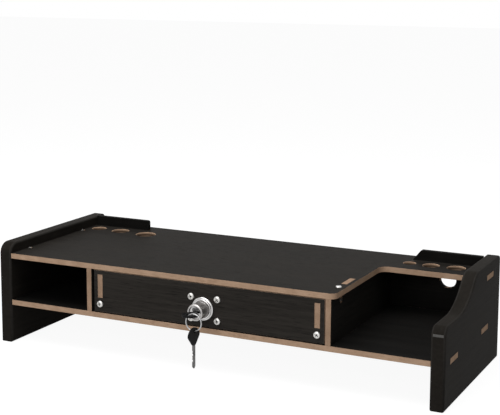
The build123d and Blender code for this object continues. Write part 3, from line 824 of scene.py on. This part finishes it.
def corner_seat(end, rise, tenon, board_up):
    """Seat of a corner screw driven at 45 degrees into a side panel; end is -1 left or +1 right."""
    into = Vector((end, 0, -board_up)).normalized()
    place = Vector((end * (abs(side_high.x) - corner_screw_in), side_low.y + tenon, rise))
    turn = 0.4 + tenon * 20
    return (place + into * corner_screw_sink, -into, turn)


corner_seats = [corner_seat(-1, top_high.z, tenon, 1) for tenon in top_left_tenons]
corner_seats += [corner_seat(1, top_high.z, tenon, 1) for tenon in top_right_tenons]
for end in (-1, 1):
    corner_seats += [corner_seat(end, shelf_low.z, tenon, -1) for tenon in shelf_tenons]
screws("corner_screw_set", corner_seats, "case", ["corner_screws"], wood_screw, dull_zinc)


# Lock
low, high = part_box("lock_barrel")
barrel_radius = (high.x - low.x) / 2
barrel_ahead = face_y - low.y
barrel_behind = face_y - high.y
lock_centre = Vector(((low.x + high.x) / 2, face_y, (low.z + high.z) / 2))
plug_low, plug_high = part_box("lock_plug")
mouth_radius = (plug_high.x - plug_low.x) / 2 + plug_gap
rim_round = 1.5 * mm
mouth_round = 0.45 * mm
barrel_profile = [(mouth_radius, barrel_behind), (barrel_radius, barrel_behind)]
rim_centre = (barrel_radius - rim_round, barrel_ahead - rim_round)
barrel_profile += quarter(rim_centre, rim_round, 0, 90, 8)
mouth_centre = (mouth_radius + mouth_round, barrel_ahead - mouth_round)
barrel_profile += quarter(mouth_centre, mouth_round, 90, 180, 4)
piece = turned("lock_barrel_turned", barrel_profile, lock_centre, "drawer", satin_chrome)
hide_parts("lock_barrel")

low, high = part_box("lock_escutcheon")
flange_radius = (high.x - low.x) / 2
collar_ahead = face_y - low.y
hole_radius = barrel_radius + barrel_gap
shoulder_ahead = 3.0 * mm
shoulder_round = 1.5 * mm
collar_radius = 11.1 * mm
collar_round = 0.7 * mm
flange_edge = 0.9 * mm
groove_depth = 0.4 * mm
lip = 0.25 * mm
escutcheon_profile = [(hole_radius, 0.0), (flange_radius, 0.0), (flange_radius, flange_edge)]
shoulder_centre = (flange_radius - shoulder_round, shoulder_ahead - shoulder_round)
escutcheon_profile += quarter(shoulder_centre, shoulder_round, 0, 90, 8)
escutcheon_profile += [
    (collar_radius + 0.5 * mm, shoulder_ahead - 0.05 * mm),
    (collar_radius + 0.35 * mm, shoulder_ahead - groove_depth),
    (collar_radius + 0.05 * mm, shoulder_ahead - groove_depth),
]
collar_centre = (collar_radius - collar_round, collar_ahead - collar_round)
escutcheon_profile += quarter(collar_centre, collar_round, 0, 90, 5)
escutcheon_profile += [(hole_radius + lip, collar_ahead), (hole_radius, collar_ahead - lip)]
piece = turned(
    "lock_escutcheon_turned", escutcheon_profile, lock_centre, "drawer", chrome
)
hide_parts("lock_escutcheon")

# Keys
for key, share in (("key", None), ("spare_key", spare_hole_share)):
    bow, moulding = key + "_bow", key + "_bow_moulding"
    rounded_copy(bow, moulding, key, plastic, bow_arris, 3, share)
    rounded_copy(key + "_blade", key + "_blade_cut", key, key_steel, blade_arris)


# Split ring
def split_ring():
    """Two turns of flat wire, side by side, that cross over once."""
    low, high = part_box("key_ring")
    centre = (low + high) / 2
    wire = 1.0 * mm
    coil_wide = 0.8 * mm
    radius = (high.x - low.x) / 2 - wire / 2
    corner = 0.3 * mm
    coil_gap = 0.04 * mm
    start = math.radians(62)
    steps = 150
    turns = 1.94
    crossing = 0.11
    sides = 12
    section = []
    for number in range(sides):
        angle = 2 * math.pi * (number + 0.5) / sides
        across = math.copysign(wire / 2 - corner, math.cos(angle)) + corner * math.cos(angle)
        along = math.copysign(coil_wide / 2 - corner, math.sin(angle)) + corner * math.sin(angle)
        section.append((across, along))
    made = bmesh.new()
    rings = []
    for step in range(steps + 1):
        share = step / steps
        angle = start + 2 * math.pi * turns * share
        slide = min(max((share - 0.5) / crossing + 0.5, 0.0), 1.0)
        slide = slide * slide * (3 - 2 * slide)
        shift = (slide - 0.5) * (coil_wide + coil_gap)
        ring = []
        for across, along in section:
            reach = radius + across
            ring.append(
                made.verts.new(
                    centre
                    + Vector((reach * math.cos(angle), shift + along, reach * math.sin(angle)))
                )
            )
        rings.append(ring)
    for here, there in zip(rings, rings[1:]):
        for number in range(len(section)):
            after = (number + 1) % len(section)
            made.faces.new((here[number], here[after], there[after], there[number]))
    made.faces.new(rings[0])
    made.faces.new(rings[-1])
    bmesh.ops.recalc_face_normals(made, faces=made.faces)
    for one in made.edges:
        one.smooth = one.calc_face_angle() < math.radians(60)
    mesh = mesh_from(made, "split_ring")
    mesh.materials.append(steel)
    piece = new_piece("split_ring", mesh, "ring")
    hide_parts("key_ring")


split_ring()

# Nodes whose CAD shape is already right
for node, finish in (
    ("divider_nut", zinc),
    ("drawer_front_nuts", zinc),
    ("lock_case_nuts", zinc),
    ("lock_case", steel),
    ("lock_crank", steel),
    ("lock_bolt", steel),
    ("lock_plug", chrome),
):
    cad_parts[node].material_slots[0].material = finish


# Floor, light and camera
def white_to_camera(graph):
    """1 where the camera looks, directly or in a reflection, and 0 for the light on the object."""
    rays = graph.node("ShaderNodeLightPath", output="Is Camera Ray")
    seen = rays + rays.out("Is Glossy Ray") + rays.out("Is Transmission Ray")
    return seen.math("MINIMUM", seen, 1.0)


def floor():
    """A wide pale floor that keeps a faint shadow."""
    finish, graph = new_finish("pale floor")
    grit = graph.noise(graph.object_place(), 40.0, 2.0)
    pale = graph.mix(grit, (0.45, 0.45, 0.45, 1), (0.48, 0.48, 0.48, 1))
    lit = graph.node("ShaderNodeBsdfDiffuse", values={"Color": pale})
    glow = graph.node("ShaderNodeEmission", values={"Color": (1, 1, 1, 1), "Strength": 0.93})
    dim = graph.node("ShaderNodeBsdfDiffuse", values={"Color": (0.15, 0.15, 0.15, 1)})
    seen = graph.node("ShaderNodeAddShader", values={0: glow, 1: dim})
    both = graph.node("ShaderNodeMixShader", values={0: white_to_camera(graph), 1: lit, 2: seen})
    graph.node("ShaderNodeOutputMaterial", values={"Surface": both})
    made = bmesh.new()
    bmesh.ops.create_grid(made, x_segments=1, y_segments=1, size=floor_half_width)
    bmesh.ops.translate(made, verts=made.verts, vec=(0, 0, -floor_drop))
    mesh = mesh_from(made, "floor")
    mesh.materials.append(finish)
    ground = bpy.data.objects.new("floor", mesh)
    bpy.context.scene.collection.objects.link(ground)


def softbox(name, place, target, width, height, watts):
    """A rectangular soft light that faces a target."""
    light = bpy.data.lights.new(name, "AREA")
    light.shape = "RECTANGLE"
    light.size = width
    light.size_y = height
    light.energy = watts
    lamp = bpy.data.objects.new(name, light)
    lamp.location = place
    lamp.rotation_mode = "QUATERNION"
    lamp.rotation_quaternion = (Vector(target) - Vector(place)).to_track_quat("-Z", "Y")
    bpy.context.scene.collection.objects.link(lamp)


def studio():
    """A white surround that lights gently, and two softboxes."""
    world = bpy.data.worlds.new("studio")
    bpy.context.scene.world = world
    world.use_nodes = True
    world.node_tree.nodes.clear()
    graph = Graph(world.node_tree)
    gentle = graph.node("ShaderNodeBackground", values={"Color": (1, 1, 1, 1), "Strength": 0.25})
    white = graph.node("ShaderNodeBackground", values={"Color": (1, 1, 1, 1), "Strength": 1.0})
    share = white_to_camera(graph)
    both = graph.node("ShaderNodeMixShader", values={0: share, 1: gentle, 2: white})
    graph.node("ShaderNodeOutputWorld", values={"Surface": both})
    softbox("overhead", (-0.15, -0.35, 1.5), (0, 0, 0.05), 1.6, 1.2, 21.5)
    softbox("front fill", (-0.15, -1.95, 0.75), (0, 0, 0.06), 1.4, 1.0, 11.8)
    bpy.context.scene.view_settings.view_transform = "Standard"


def camera():
    """The photograph's viewpoint, fitted to the corners of the boards."""
    photo_width = 500
    sensor = 36.0
    focal_pixels = 1231.2
    centre_raise = 60
    place = Vector((0.6105, -1.21585, 0.4343))
    yaw, pitch, roll = (math.radians(angle) for angle in (-26.071, -8.226, 0.194))
    level = math.cos(pitch)
    ahead = Vector((math.sin(yaw) * level, math.cos(yaw) * level, math.sin(pitch)))
    right = Vector((math.cos(yaw), -math.sin(yaw), 0))
    up = right.cross(ahead)
    columns = (
        right * math.cos(roll) + up * math.sin(roll),
        up * math.cos(roll) - right * math.sin(roll),
        -ahead,
    )
    lens = bpy.data.cameras.new("camera")
    lens.sensor_width = sensor
    lens.lens = sensor * focal_pixels / photo_width
    lens.shift_y = -centre_raise / photo_width
    lens.clip_start, lens.clip_end = 0.05, 50
    eye = bpy.data.objects.new("camera", lens)
    eye.matrix_world = Matrix.Translation(place) @ Matrix(columns).transposed().to_4x4()
    bpy.context.scene.collection.objects.link(eye)
    bpy.context.scene.camera = eye


floor()
studio()
camera()
